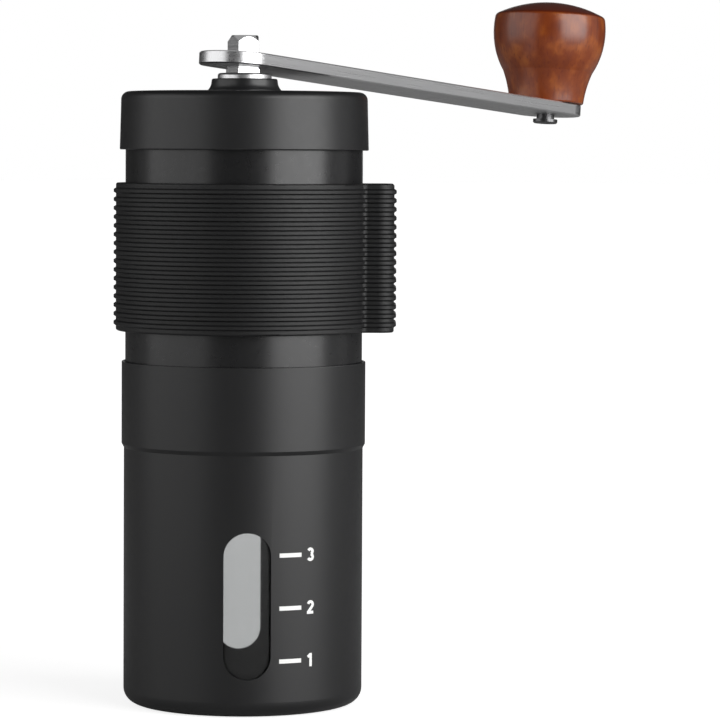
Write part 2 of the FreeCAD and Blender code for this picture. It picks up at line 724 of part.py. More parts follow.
def make_bearing_bridge():
    body = new_body("bearing_bridge")
    revolve(body, [
        (SLEEVE_BORE, SLEEVE_Z), (SLEEVE_R, SLEEVE_Z), (SLEEVE_R, SLEEVE_TOP), (SLEEVE_BORE, SLEEVE_TOP),
    ])
    start = f"({SLEEVE_R} - sleeve_wall / 2)"
    section = new_sketch(body, "YZ_Plane", start)
    half = "bridge_arm_width / 2"
    low = f"{HOUSING_TOP} + bridge_arm_rise"
    high = f"{low} + bridge_arm_height"
    outline(section, [
        (f"-{half}", low), (half, low), (half, f"{high} - bridge_arm_peak"), ("0", high),
        (f"-{half}", f"{high} - bridge_arm_peak"),
    ])
    around(body, [pad(body, section, f"{HOUSING_R} - bridge_wall / 2 - {start}")], "bridge_arms")
    inner = f"({HOUSING_R} - bridge_wall)"
    top = f"({HOUSING_TOP} + bridge_height)"
    revolve(body, [
        (f"{HOUSING_R} - funnel_lip", HOUSING_TOP), (HOUSING_R, HOUSING_TOP), (HOUSING_R, top),
        (f"{HOUSING_R} - bridge_wall / 2", top), (inner, f"{top} - bridge_wall / 2"),
        (inner, f"{HOUSING_TOP} + funnel_lip"),
    ])
    return body


def make_bush(label, seat, outward):
    """Make a flanged bush whose flange lies outward, up or down, of a seat on the sleeve."""
    body = new_body(label)
    flange_z = f"({seat} + {outward} * bush_flange)"
    tail_z = f"({seat} - {outward} * bush_length)"
    revolve(body, [
        (BUSH_BORE, tail_z), (BUSH_R, tail_z), (BUSH_R, seat), (f"{BUSH_R} + bush_lip", seat),
        (f"{BUSH_R} + bush_lip", flange_z), (BUSH_BORE, flange_z),
    ])
    return body


def make_thrust_washer():
    body = new_body("thrust_washer")
    outer = "journal_radius + washer_lip"
    revolve(body, [(BUSH_BORE, THRUST_Z), (outer, THRUST_Z), (outer, THRUST_TOP), (BUSH_BORE, THRUST_TOP)])
    return body


def make_drive_shaft():
    body = new_body("drive_shaft")
    collar_r = "journal_radius + shaft_collar_lip"
    collar_top = f"{SHAFT_COLLAR_Z} + shaft_collar_height"
    revolve(body, [
        ("0", STUB_END), ("thread_radius", STUB_END), ("thread_radius", THREAD_TOP),
        ("journal_radius", THREAD_TOP), ("journal_radius", SHAFT_COLLAR_Z), (collar_r, SHAFT_COLLAR_Z),
        (collar_r, collar_top), ("journal_radius", collar_top), ("journal_radius", SHOULDER_LOW),
        ("0", SHOULDER_LOW),
    ])
    soften(body, round_edges(body, "thread_radius", STUB_END), "stub_bevel", "Chamfer")
    flats = new_sketch(body, "XY_Plane", THRUST_Z)
    clear = f"(journal_radius + {OVERCUT})"
    rectangle(flats, f"-{clear}", FLAT_HALF, clear, clear)
    rectangle(flats, f"-{clear}", f"-{clear}", clear, f"-{FLAT_HALF}")
    pocket(body, flats, f"{THRUST_Z} - {THREAD_TOP}")
    shoulder = new_sketch(body, "XY_Plane", SHOULDER_LOW)
    polygon(shoulder, "0", SHOULDER_R, DRIVE_SIDES, DRIVE_CLOCK)
    pad(body, shoulder, f"{SHOULDER_Z} - {SHOULDER_LOW}")
    drive = new_sketch(body, "XY_Plane", SHOULDER_Z)
    polygon(drive, "0", "drive_corner", DRIVE_SIDES, DRIVE_CLOCK)
    pad(body, drive, f"{DRIVE_TOP} - {SHOULDER_Z}")
    nose_z = f"{DRIVE_TOP} - nose_height"
    nose_r = "drive_corner - nose_inset"
    outside = f"drive_corner + {OVERCUT}"
    above = f"{DRIVE_TOP} + {OVERCUT}"
    revolve(body, [
        ("drive_corner", nose_z), (outside, nose_z), (outside, above), (nose_r, above), (nose_r, DRIVE_TOP),
    ], kind="Groove")
    return body


def make_burr_spring():
    """Wind the spring from the floor of the inner burr's pocket to the thrust washer."""
    low = f"{POCKET_Z} + running_gap + wire_diameter / 2"
    height = f"{THRUST_Z} - {POCKET_Z} - 2 * running_gap - wire_diameter"
    helix = doc.addObject("Part::Helix", "spring_path")
    helix.setExpression("Radius", bound(SPRING_R))
    helix.setExpression("Height", bound(height))
    helix.setExpression("Pitch", bound(f"({height}) / spring_turns"))
    wire = doc.addObject("Part::Circle", "spring_wire")
    wire.setExpression("Radius", bound("wire_diameter / 2"))
    wire.setExpression("Placement", bound(f"placement(vector({SPRING_R}; 0; 0); rotation(0; 0; 90))"))
    spring = doc.addObject("Part::Sweep", "burr_spring")
    spring.Label = "burr_spring"
    spring.Sections = [wire]
    spring.Spine = helix
    spring.Solid = True
    spring.Frenet = True
    spring.setExpression("Placement.Base.z", bound(low))
    doc.recompute()
    return spring


def double_d(sketch, gap):
    """Draw the shaft's section with its two flats, widened by a gap."""
    radius = f"(journal_radius + {gap})"
    flat = f"({FLAT_HALF} + {gap})"
    half = f"sqrt({radius}^2 - {flat}^2)"
    outline(sketch, [
        (half, f"-{flat}", radius, 1), (half, flat), (f"-{half}", flat, radius, 1), (f"-{half}", f"-{flat}"),
    ])


def make_inner_burr():
    body = new_body("inner_burr")
    revolve(body, [
        ("0", CONE_Z), (CONE_R, CONE_Z), (CONE_R, SKIRT_TOP), (TIP_R, CONE_TOP), ("0", CONE_TOP),
    ])
    spring_seat = new_sketch(body, "XY_Plane", CONE_TOP)
    circle(spring_seat, "0", "0", POCKET_R)
    pocket(body, spring_seat, "spring_pocket")
    click_seat = new_sketch(body, "XY_Plane", CONE_Z)
    circle(click_seat, "0", "0", "click_radius + slip_gap")
    pocket(body, click_seat, "click_height", upward=True)
    bore = new_sketch(body, "XY_Plane")
    double_d(bore, "slip_gap")
    pocket(body, bore)
    slope = f"(({CONE_R} - {TIP_R}) / ({CONE_TOP} - {SKIRT_TOP}))"
    fine_r = f"({CONE_R} - {slope} * (fine_height - skirt_height))"
    low = tooth_section(body, f"{CONE_Z} - {OVERCUT}", "0", "fine_tooth_width",
                        f"({CONE_R} + fine_tooth_depth / 2)", f"({CONE_R} - fine_tooth_depth)")
    high = tooth_section(body, f"{CONE_Z} + fine_height", "fine_twist", "fine_tooth_width",
                         f"({fine_r} + fine_tooth_depth)", f"({fine_r} + {RUNOUT})")
    cut_teeth(body, low, high, "fine_teeth")
    low = tooth_section(body, f"{SKIRT_TOP} + {OVERCUT}", "0", "flute_width",
                        f"({CONE_R} + flute_depth)", f"({CONE_R} + {RUNOUT})")
    high = tooth_section(body, f"{CONE_TOP} + {OVERCUT}", "flute_twist", "flute_width",
                         f"({TIP_R} + flute_depth / 2)", f"({TIP_R} - flute_depth)")
    cut_teeth(body, low, high, "flute_count")
    return body


def make_click_ring():
    body = new_body("click_ring")
    bore = "journal_radius + slip_gap"
    revolve(body, [
        (bore, CONE_Z), ("click_radius", CONE_Z), ("click_radius", CLICK_TOP), (bore, CLICK_TOP),
    ])
    notch = new_sketch(body, "XY_Plane", CONE_Z)
    circle(notch, "click_radius - notch_inset", "0", "notch_radius")
    around(body, [pocket(body, notch, "notch_depth", upward=True)], "notch_count")
    return body


def make_adjust_nut():
    body = new_body("adjust_nut")
    revolve(body, [("0", NUT_Z), ("nut_radius", NUT_Z), ("nut_radius", NUT_TOP), ("0", NUT_TOP)])
    rims = round_edges(body, "nut_radius", NUT_Z) + round_edges(body, "nut_radius", NUT_TOP)
    soften(body, rims, "nut_round")
    lobe = new_sketch(body, "XY_Plane")
    circle(lobe, "nut_radius - lobe_depth + lobe_radius", "0", "lobe_radius")
    around(body, [pocket(body, lobe)], "lobe_count")
    seat = new_sketch(body, "XY_Plane", NUT_TOP)
    polygon(seat, "0", "hex_corner + press_gap", HEX_SIDES, "0")
    pocket(body, seat, "hex_sink + hex_height")
    bore = new_sketch(body, "XY_Plane")
    circle(bore, "0", "0", f"thread_radius + {OVERCUT}")
    pocket(body, bore)
    nub = new_sketch(body, "XY_Plane", NUT_TOP)
    circle(nub, *turned("click_radius - notch_inset", "0", "180 / notch_count"), "nub_radius")
    around(body, [pad(body, nub, "nub_height")], "nub_count")
    return body


def make_nut_insert():
    body = new_body("nut_insert")
    hexagon = new_sketch(body, "XY_Plane", f"{NUT_TOP} - hex_sink - hex_height")
    polygon(hexagon, "0", "hex_corner", HEX_SIDES, "0")
    circle(hexagon, "0", "0", "thread_radius + running_gap")
    pad(body, hexagon, "hex_height")
    return body


def make_crank_arm():
    """Make the flat bar in its own frame: the shaft's axis at the origin, the underside at 0."""
    body = new_body("crank_arm", CRANK_PLACE)
    plan = new_sketch(body, "XY_Plane")
    half = "arm_width / 2"
    tip = "crank_length + tip_front"
    outline(plan, [
        ("-hub_back", f"-{half}"), (tip, f"-{half}", half, 1), (f"{tip} + {half}", "0", half, 1),
        (tip, half), ("-hub_back", half, half, 1), (f"-hub_back - {half}", "0", half, 1),
    ])
    pad(body, plan, "arm_thickness")
    soften(body, flat_edges(body, "0") + flat_edges(body, "arm_thickness"), "arm_bevel", "Chamfer")
    drive = new_sketch(body, "XY_Plane")
    corner = f"(drive_corner + (drive_gap + {SAG_SHIFT}) / cos(180 / {DRIVE_SIDES}))"
    polygon(drive, f"-{SAG_SHIFT}", corner, DRIVE_SIDES, f"{DRIVE_CLOCK} - crank_azimuth")
    pocket(body, drive)
    pin = new_sketch(body, "XY_Plane")
    circle(pin, "crank_length", "0", "pin_radius + running_gap")
    pocket(body, pin)
    return body


def make_knob():
    body = new_body("knob", KNOB_PLACE)
    flare_z = f"{KNOB_Z} + knob_flare_height"
    shoulder_z = f"({flare_z} + knob_belly_height)"
    dome_round = "((knob_shoulder_radius^2 + knob_dome_height^2) / (2 * knob_dome_height))"
    bore = "insert_radius + press_gap"
    bore_top = f"{KNOB_Z} + insert_length + slip_gap"
    revolve(body, [
        (bore, KNOB_Z), ("knob_base_radius", KNOB_Z, "knob_flare_round", -1),
        ("knob_flare_radius", flare_z, "knob_belly_round", 1),
        ("knob_shoulder_radius", shoulder_z, dome_round, 1), ("0", f"{shoulder_z} + knob_dome_height"),
        ("0", bore_top), (bore, bore_top),
    ])
    soften(body, round_edges(body, "knob_shoulder_radius", shoulder_z), "knob_edge_round")
    soften(body, round_edges(body, "knob_base_radius", KNOB_Z), "knob_base_round")
    return body


def make_knob_insert():
    body = new_body("knob_insert", KNOB_PLACE)
    bore = "pin_thread_radius + press_gap"
    top = f"{KNOB_Z} + insert_length"
    revolve(body, [(bore, KNOB_Z), ("insert_radius", KNOB_Z), ("insert_radius", top), (bore, top)])
    return body


def make_knob_screw():
    """Make the stepped screw: its shoulder is longer than the arm is thick, so that the knob turns."""
    body = new_body("knob_screw", KNOB_PLACE)
    head_z = "(-pin_play - pin_head_height)"
    thread_top = f"{KNOB_Z} + pin_thread_length"
    revolve(body, [
        ("0", head_z), ("pin_head_radius", head_z), ("pin_head_radius", "-pin_play"),
        ("pin_radius", "-pin_play"), ("pin_radius", KNOB_Z), ("pin_thread_radius", KNOB_Z),
        ("pin_thread_radius", thread_top), ("0", thread_top),
    ])
    soften(body, round_edges(body, "pin_head_radius", head_z), "pin_head_bevel", "Chamfer")
    socket = new_sketch(body, "XY_Plane", head_z)
    polygon(socket, "0", "pin_socket_radius", HEX_SIDES, "0")
    pocket(body, socket, "socket_depth", upward=True)
    return body


pieces = [
    make_cup_shell(), make_cup_liner(), make_body_tube(), make_grip_band(),
    make_lid_cap(), make_lid_collar(), make_lid_eyelet(),
    make_burr_housing(), make_outer_burr(), make_burr_retainer(), make_retainer_screws(),
    make_bearing_bridge(),
    make_bush("upper_bush", SLEEVE_TOP, "1"), make_bush("lower_bush", SLEEVE_Z, "-1"),
    make_drive_shaft(), make_thrust_washer(), make_burr_spring(),
    make_inner_burr(), make_click_ring(), make_adjust_nut(), make_nut_insert(),
    make_crank_arm(), make_knob(), make_knob_insert(), make_knob_screw(),
]
doc.recompute()

for item in doc.Objects:
    if {"Invalid", "Error"} & set(item.State):
        raise RuntimeError(f"{item.Name} did not build")
for piece in pieces:
    if piece.Shape.isNull() or not piece.Shape.isValid():
        raise RuntimeError(f"{piece.Label} is not a valid solid")

os.makedirs("parts", exist_ok=True)
for piece in pieces:
    piece.Shape.exportStep(f"parts/{piece.Label}.step")
    print(piece.Label, len(piece.Shape.Solids), round(piece.Shape.Volume, 1))
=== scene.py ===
# Looks of a hand crank coffee grinder: finishes for its solids, the printed scale beside the window,
# and a plain white studio with the camera in front of the window.
import json
import math

import bmesh
import bpy
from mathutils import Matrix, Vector


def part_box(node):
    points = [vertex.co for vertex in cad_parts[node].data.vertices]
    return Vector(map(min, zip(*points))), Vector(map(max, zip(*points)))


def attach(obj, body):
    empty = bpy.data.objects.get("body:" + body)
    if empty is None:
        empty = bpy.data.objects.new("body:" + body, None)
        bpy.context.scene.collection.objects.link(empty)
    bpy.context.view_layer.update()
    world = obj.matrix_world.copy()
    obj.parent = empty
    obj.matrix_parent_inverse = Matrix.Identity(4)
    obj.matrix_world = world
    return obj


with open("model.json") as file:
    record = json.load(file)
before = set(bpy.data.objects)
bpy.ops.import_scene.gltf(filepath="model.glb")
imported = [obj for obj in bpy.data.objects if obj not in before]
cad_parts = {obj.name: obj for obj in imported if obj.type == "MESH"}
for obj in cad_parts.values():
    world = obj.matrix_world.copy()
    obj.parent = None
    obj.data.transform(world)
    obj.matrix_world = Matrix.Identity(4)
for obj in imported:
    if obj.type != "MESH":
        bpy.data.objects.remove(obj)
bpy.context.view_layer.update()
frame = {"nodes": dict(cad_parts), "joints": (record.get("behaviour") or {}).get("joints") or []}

bl_info = {
    "name": "Coffee grinder looks",
    "version": (1, 0, 0),
    "blender": (4, 5, 0),
    "location": "View3D > Sidebar > Grinder",
    "description": "Finishes, printed scale and studio for a hand crank coffee grinder",
    "category": "Material",
}

MM = 0.001
WHITE_LEVEL = 1.0
CUP_LOW, CUP_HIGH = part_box("cup_shell")
JOINTS = {joint["name"]: joint for joint in frame["joints"]}
KNOB_PLACE = Vector(JOINTS["knob_spin"]["pos_m"])
# The crank's bar points this way round the shaft, and droops towards the knob
CRANK_TURN = math.atan2(KNOB_PLACE.y, KNOB_PLACE.x)
CRANK_DROOP = math.acos(JOINTS["knob_spin"]["axis"][2])
# Height above the knob's joint in millimetres, just under its shoulder, where the dark end grain and
# the painted shade of the dome begin, and the rise over which they come in
KNOB_SHOULDER = 21.5
END_GRAIN_AND_SHADE_RISE = 0.3
# Nearly all of a noise texture's values lie between these two
NOISE_LOW = 0.3
NOISE_HIGH = 0.7
NOISE_DETAIL = 3.0
# Which noise values give the knob its pale figure, its dark streaks and its pores, and how strongly
PALE_FIGURE = {"From Min": 0.5, "From Max": 0.72, "To Min": 0.0, "To Max": 0.6}
DARK_STREAK = {"From Min": 0.46, "From Max": 0.3, "To Min": 0.0, "To Max": 0.4}
DARK_PORE = {"From Min": 0.55, "From Max": 0.75, "To Min": 0.0, "To Max": 0.6}


def linear(code):
    """Turn an sRGB hex colour into a linear one."""
    shares = [int(code[start:start + 2], 16) / 255 for start in (1, 3, 5)]
    return [share / 12.92 if share <= 0.04045 else ((share + 0.055) / 1.055) ** 2.4 for share in shares]


def rgba(colour):
    """Give a colour the alpha that sockets ask for."""
    return (*colour, 1.0)


def colour_property(name, description, code):
    return bpy.props.FloatVectorProperty(
        name=name, description=description, subtype="COLOR", size=3, min=0, max=1, default=linear(code))


def length_property(name, description, size):
    return bpy.props.FloatProperty(
        name=name, description=description, unit="LENGTH", subtype="DISTANCE", min=0, default=size)


class GrinderFinish(bpy.types.PropertyGroup):
    """Colours of the grinder's materials"""
    coat: colour_property("Powder coat", "Black coat of the cup, the tube and the lid", "#141415")
    rubber: colour_property("Rubber", "Grip band", "#0d0d0e")
    plastic: colour_property("Black plastic", "Collar and the moulded pieces inside", "#19191a")
    clear: colour_property("Clear plastic", "Tint of the cup's liner", "#d2d3d3")
    steel: colour_property("Brushed steel", "Crank and screws", "#d2d2d3")
    polished: colour_property("Polished steel", "Shaft and eyelet", "#d8d8d9")
    dark_steel: colour_property("Dark steel", "Knob's screw", "#6a6a6b")
    wood: colour_property("Wood", "Knob between its streaks", "#793204")
    wood_pale: colour_property("Pale wood", "Pale figure of the knob", "#a85a18")
    # The dark wood also paints shade on the knob's dome
    wood_dark_and_dome_shade: colour_property("Dark wood", "Pores and end grain of the knob", "#561a02")
    ceramic: colour_property("Ceramic", "Burrs", "#e8e4da")
    brass: colour_property("Brass", "Threaded inserts", "#c9a35a")
    bronze: colour_property("Bronze", "Shaft bushes", "#8f6a42")
    ink: colour_property("Ink", "Printed scale", "#f4f4f2")


class GrinderScale(bpy.types.PropertyGroup):
    """Sizes of the printed scale, as seen straight on before it goes round the cup"""
    first_height: length_property("First mark", "Height of the lowest mark above the table", 11.0 * MM)
    spacing: length_property("Spacing", "Rise from one mark to the next", 10.3 * MM)
    line: length_property("Line", "Thickness of a mark", 0.82 * MM)
    film: length_property("Film", "Thickness of the ink", 0.04 * MM)
    figure: length_property("Figure", "Height of the numbers", 2.6 * MM)
    dash_start: bpy.props.FloatProperty(
        name="Dash start", description="Angle from the front to a mark's near end", subtype="ANGLE",
        default=math.radians(19.15))
    dash_end: bpy.props.FloatProperty(
        name="Dash end", description="Angle from the front to a mark's far end", subtype="ANGLE",
        default=math.radians(30.3))
    figure_angle: bpy.props.FloatProperty(
        name="Figure angle", description="Angle from the front to the numbers' middle", subtype="ANGLE",
        default=math.radians(35.3))


class GrinderStage(bpy.types.PropertyGroup):
    """Camera and studio light"""
    lens: bpy.props.FloatProperty(
        name="Lens", description="Focal length in millimetres", subtype="DISTANCE_CAMERA",
        default=185.0)
    camera: bpy.props.FloatVectorProperty(
        name="Camera", description="Where the camera stands", subtype="TRANSLATION", unit="LENGTH",
        default=(0.02312, -0.73413, 0.10979))
    pitch: bpy.props.FloatProperty(
        name="Pitch", description="How far the camera looks down", subtype="ANGLE",
        default=math.radians(3.236))
    roll: bpy.props.FloatProperty(
        name="Roll", description="How far the camera leans over", subtype="ANGLE",
        default=math.radians(0.309))
    key: bpy.props.FloatProperty(
        name="Key light", description="Power of the softbox on the right", subtype="POWER",
        default=14.3)
    fill: bpy.props.FloatProperty(
        name="Fill light", description="Power of the softbox on the left", subtype="POWER",
        default=5.1)
    card: bpy.props.FloatProperty(
        name="Card", description="Power of the dim card behind on the right", subtype="POWER",
        default=0.45)
    ceiling: bpy.props.FloatProperty(
        name="Ceiling card", description="Power of the card overhead that only the steel sees",
        subtype="POWER", default=10.0)


def add(tree, kind, links=None, sockets=None, **settings):
    """Add a node to a tree, set its properties and sockets, and link its inputs."""
    node = tree.nodes.new(kind)
    for name, value in settings.items():
        setattr(node, name, value)
    for name, value in (sockets or {}).items():
        node.inputs[name].default_value = value
    for name, source in (links or {}).items():
        tree.links.new(source, node.inputs[name])
    return node


def new_material(name, colour, metallic=0.0):
    """Start a material with one shader of this colour."""
    material = bpy.data.materials.new(name)
    material.use_nodes = True
    tree = material.node_tree
    tree.nodes.clear()
    shader = add(tree, "ShaderNodeBsdfPrincipled",
                 sockets={"Base Color": rgba(colour), "Metallic": metallic})
    add(tree, "ShaderNodeOutputMaterial", links={"Surface": shader.outputs["BSDF"]})
    return material, tree, shader


def grain(tree, shader, lengths, rough=None, depth=0.0, place=(0, 0, 0), turn=(0, 0, 0)):
    """Make grains of these lengths in millimetres, and return their value.

    The shader's roughness varies with them between the two values of rough, where they are given.
    A depth, in millimetres too, raises them.
    """
    spot = add(tree, "ShaderNodeTexCoord")
    own = add(tree, "ShaderNodeMapping", vector_type="TEXTURE",
              links={"Vector": spot.outputs["Object"]},
              sockets={"Location": place, "Rotation": turn,
                       "Scale": [MM * length for length in lengths]})
    noise = add(tree, "ShaderNodeTexNoise", links={"Vector": own.outputs["Vector"]},
                sockets={"Scale": 1.0, "Detail": NOISE_DETAIL})
    if rough:
        uneven = add(tree, "ShaderNodeMapRange", links={"Value": noise.outputs["Fac"]},
                     sockets={"From Min": NOISE_LOW, "From Max": NOISE_HIGH,
                              "To Min": rough[0], "To Max": rough[1]})
        tree.links.new(uneven.outputs["Result"], shader.inputs["Roughness"])
    if depth:
        bump = add(tree, "ShaderNodeBump", links={"Height": noise.outputs["Fac"]},
                   sockets={"Distance": depth * MM, "Strength": 1.0})
        tree.links.new(bump.outputs["Normal"], shader.inputs["Normal"])
    return noise.outputs["Fac"]


def dress(material, *names):
    """Give a material to solids of the grinder."""
    for name in names:
        mesh = frame["nodes"][name].data
        mesh.materials.clear()
        mesh.materials.append(material)


class GRINDER_OT_coat(bpy.types.Operator):
    """Coat the cup, the tube and the lid"""
    bl_idname = "grinder.coat"
    bl_label = "Powder coat"

    def execute(self, context):
        finish = context.scene.grinder_finish
        # Polyester powder coat baked on sheet steel: satin, with a faint peel about 1 mm across
        for name, rough, nodes in (
            ("powder_coated_steel", (0.38, 0.42), ("cup_shell", "lid_cap")),
            ("powder_coated_tube", (0.27, 0.31), ("body_tube",)),
        ):
            material, tree, shader = new_material(name, finish.coat)
            grain(tree, shader, (1.1, 1.1, 1.1), rough, 0.004)
            dress(material, *nodes)
        return {"FINISHED"}


class GRINDER_OT_liner(bpy.types.Operator):
    """Make the cup's liner clear"""
    bl_idname = "grinder.liner"
    bl_label = "Clear liner"

    def execute(self, context):
        # Moulded clear plastic, polished and slightly smoky, with faint flow marks 9 mm wide and
        # 30 mm high
        finish = context.scene.grinder_finish
        material, tree, shader = new_material("clear_moulded_plastic", finish.clear)
        shader.inputs["IOR"].default_value = 1.5
        shader.inputs["Transmission Weight"].default_value = 1.0
        grain(tree, shader, (9, 9, 30), (0.02, 0.05))
        dress(material, "cup_liner")
        return {"FINISHED"}


class GRINDER_OT_band(bpy.types.Operator):
    """Finish the ribbed grip band"""
    bl_idname = "grinder.band"
    bl_label = "Rubber band"

    def execute(self, context):
        # Moulded silicone rubber: matte, with a fine grit of a third of a millimetre
        material, tree, shader = new_material("moulded_rubber", context.scene.grinder_finish.rubber)
        grain(tree, shader, (0.35, 0.35, 0.35), (0.46, 0.58), 0.008)
        shader.inputs["Specular IOR Level"].default_value = 0.42
        dress(material, "grip_band")
        return {"FINISHED"}


class GRINDER_OT_mouldings(bpy.types.Operator):
    """Finish the black moulded pieces"""
    bl_idname = "grinder.mouldings"
    bl_label = "Black mouldings"

    def execute(self, context):
        # Spark-eroded ABS: satin black with a fine even grain of about half a millimetre
        material, tree, shader = new_material("moulded_abs", context.scene.grinder_finish.plastic)
        grain(tree, shader, (0.5, 0.5, 0.5), (0.31, 0.41), 0.006)
        dress(material, "lid_collar", "burr_housing", "burr_retainer", "bearing_bridge", "adjust_nut",
              "click_ring")
        return {"FINISHED"}


class GRINDER_OT_steel(bpy.types.Operator):
    """Finish the crank, the shaft and the small steel pieces"""
    bl_idname = "grinder.steel"
    bl_label = "Steel"

    def execute(self, context):
        finish = context.scene.grinder_finish
        # Stainless bar brushed along its length: scratches 25 mm long, drawn 0.25 mm apart, which is
        # coarser than real ones, so that they show
        material, tree, shader = new_material("brushed_stainless_steel", finish.steel, 1.0)
        grain(tree, shader, (25, 0.25, 0.25), (0.25, 0.37), 0.002, turn=(0, CRANK_DROOP, CRANK_TURN))
        dress(material, "crank_arm")
        for name, colour, lengths, rough, nodes in (
            # Turned and polished stainless steel: bright, with faint rings from the lathe 0.4 mm apart
            ("polished_stainless_steel", finish.polished, (40, 40, 0.4), (0.12, 0.22),
             ("drive_shaft",)),
            # Nickel plate on a rolled steel eyelet: bright but a little soft, with specks of 0.8 mm
            ("nickel_plate", finish.polished, (0.8, 0.8, 0.8), (0.3, 0.42), ("lid_eyelet",)),
            # Zinc-plated steel of screws, washer and spring wire, a little dull, with specks of 0.6 mm
            ("plated_steel", finish.steel, (0.6, 0.6, 0.6), (0.2, 0.36),
             ("retainer_screws", "thrust_washer", "burr_spring")),
            # Dark-chromated steel screw: grey and satin, with specks of 0.6 mm
            ("dark_chromated_steel", finish.dark_steel, (0.6, 0.6, 0.6), (0.28, 0.4), ("knob_screw",)),
        ):
            material, tree, shader = new_material(name, colour, 1.0)
            grain(tree, shader, lengths, rough)
            dress(material, *nodes)
        return {"FINISHED"}


class GRINDER_OT_knob(bpy.types.Operator):
    """Finish the turned knob"""
    bl_idname = "grinder.knob"
    bl_label = "Wooden knob"

    def execute(self, context):
        finish = context.scene.grinder_finish
        # Stained hardwood turned along the grain and lacquered: a cloudy figure 3 to 4 mm across, dark
        # pores and a clear gloss. The pores are drawn 0.45 mm wide, coarser than real ones, so that
        # they show
        material, tree, shader = new_material("lacquered_hardwood", finish.wood)
        turn = (0, CRANK_DROOP, CRANK_TURN)
        figure = grain(tree, shader, (3.2, 3.2, 4.4), place=KNOB_PLACE, turn=turn)
        pores = grain(tree, shader, (0.45, 0.45, 6), (0.36, 0.48), 0.006, KNOB_PLACE, turn)
        paled = add(tree, "ShaderNodeMapRange", links={"Value": figure}, sockets=PALE_FIGURE)
        body = add(tree, "ShaderNodeMix", data_type="RGBA", links={"Factor": paled.outputs["Result"]},
                   sockets={"A": rgba(finish.wood), "B": rgba(finish.wood_pale)})
        streaked = add(tree, "ShaderNodeMapRange", links={"Value": figure}, sockets=DARK_STREAK)
        pitted = add(tree, "ShaderNodeMapRange", links={"Value": pores}, sockets=DARK_PORE)
        # The dome is end grain, which drinks more of the stain, and it is darkened further as painted
        # shade on its top, which the lamps light from above
        spot = add(tree, "ShaderNodeTexCoord")
        own = add(tree, "ShaderNodeMapping", vector_type="TEXTURE",
                  links={"Vector": spot.outputs["Object"]},
                  sockets={"Location": KNOB_PLACE, "Rotation": turn, "Scale": (MM, MM, MM)})
        way = add(tree, "ShaderNodeSeparateXYZ", links={"Vector": own.outputs["Vector"]})
        end_grain_and_shade = add(tree, "ShaderNodeMapRange", links={"Value": way.outputs["Z"]},
                    sockets={"From Min": KNOB_SHOULDER, "From Max": KNOB_SHOULDER + END_GRAIN_AND_SHADE_RISE,
                             "To Min": 0.0, "To Max": 1.0})
        dark = add(tree, "ShaderNodeMath", operation="ADD",
                   links={0: streaked.outputs["Result"], 1: pitted.outputs["Result"]})
        share = add(tree, "ShaderNodeMath", operation="ADD", use_clamp=True,
                    links={0: dark.outputs["Value"], 1: end_grain_and_shade.outputs["Result"]})
        # The dark wood covers the pores, the streaks and the dome, where it is partly painted shade
        tint = add(tree, "ShaderNodeMix", data_type="RGBA", sockets={"B": rgba(finish.wood_dark_and_dome_shade)},
                   links={"Factor": share.outputs["Value"], "A": body.outputs["Result"]})
        tree.links.new(tint.outputs["Result"], shader.inputs["Base Color"])
        shader.inputs["Specular IOR Level"].default_value = 0.15
        shader.inputs["Coat Weight"].default_value = 0.9
        shader.inputs["Coat Roughness"].default_value = 0.26
        dress(material, "knob")
        return {"FINISHED"}


class GRINDER_OT_burrs(bpy.types.Operator):
    """Finish the ceramic burrs and the brass and bronze pieces"""
    bl_idname = "grinder.burrs"
    bl_label = "Burrs and bearings"

    def execute(self, context):
        finish = context.scene.grinder_finish
        # Sintered alumina ceramic: off-white and matte, with a faint cloudiness 4 mm across
        material, tree, shader = new_material("sintered_ceramic", finish.ceramic)
        grain(tree, shader, (4, 4, 4), (0.42, 0.6))
        dress(material, "inner_burr", "outer_burr")
        # Turned brass with faint tarnish, and sintered bronze with oil in its pores, both in patches
        # of 1.5 mm
        for name, colour, rough, nodes in (
            ("turned_brass", finish.brass, (0.18, 0.34), ("nut_insert", "knob_insert")),
            ("sintered_bronze", finish.bronze, (0.34, 0.5), ("upper_bush", "lower_bush")),
        ):
            material, tree, shader = new_material(name, colour, 1.0)
            grain(tree, shader, (1.5, 1.5, 1.5), rough)
            dress(material, *nodes)
        return {"FINISHED"}


def wrapped(point, radius, middle):
    """Lay a point (across, up, out) on the cup's wall, with across measured along the wall."""
    angle = middle + point[0] / radius
    reach = radius + point[2]
    return Vector((reach * math.sin(angle), -reach * math.cos(angle), point[1]))


# Steps along an arc of a number, and along half a mark
BOW_STEPS = 10
DASH_STEPS = 6


def bow(across, up, radius, first, last):
    """Give points along an arc between two angles in degrees."""
    turns = [math.radians(first + (last - first) * step / BOW_STEPS) for step in range(BOW_STEPS + 1)]
    return [(across + radius * math.cos(turn), up + radius * math.sin(turn)) for turn in turns]


# Strokes of the plain numbers, in a box one figure high and about 0.6 wide
FIGURES = (
    ([(0.08, 0.72), (0.34, 0.92)], [(0.34, 0.0), (0.34, 1.0)]),
    (bow(0.3, 0.69, 0.21, 165, -40) + [(0.08, 0.1)], [(0.0, 0.1), (0.56, 0.1)]),
    (bow(0.28, 0.71, 0.19, 155, -75), bow(0.28, 0.3, 0.21, 80, -155)),
)
FIGURE_MIDDLE = 0.3
FIGURE_STROKE = 0.22


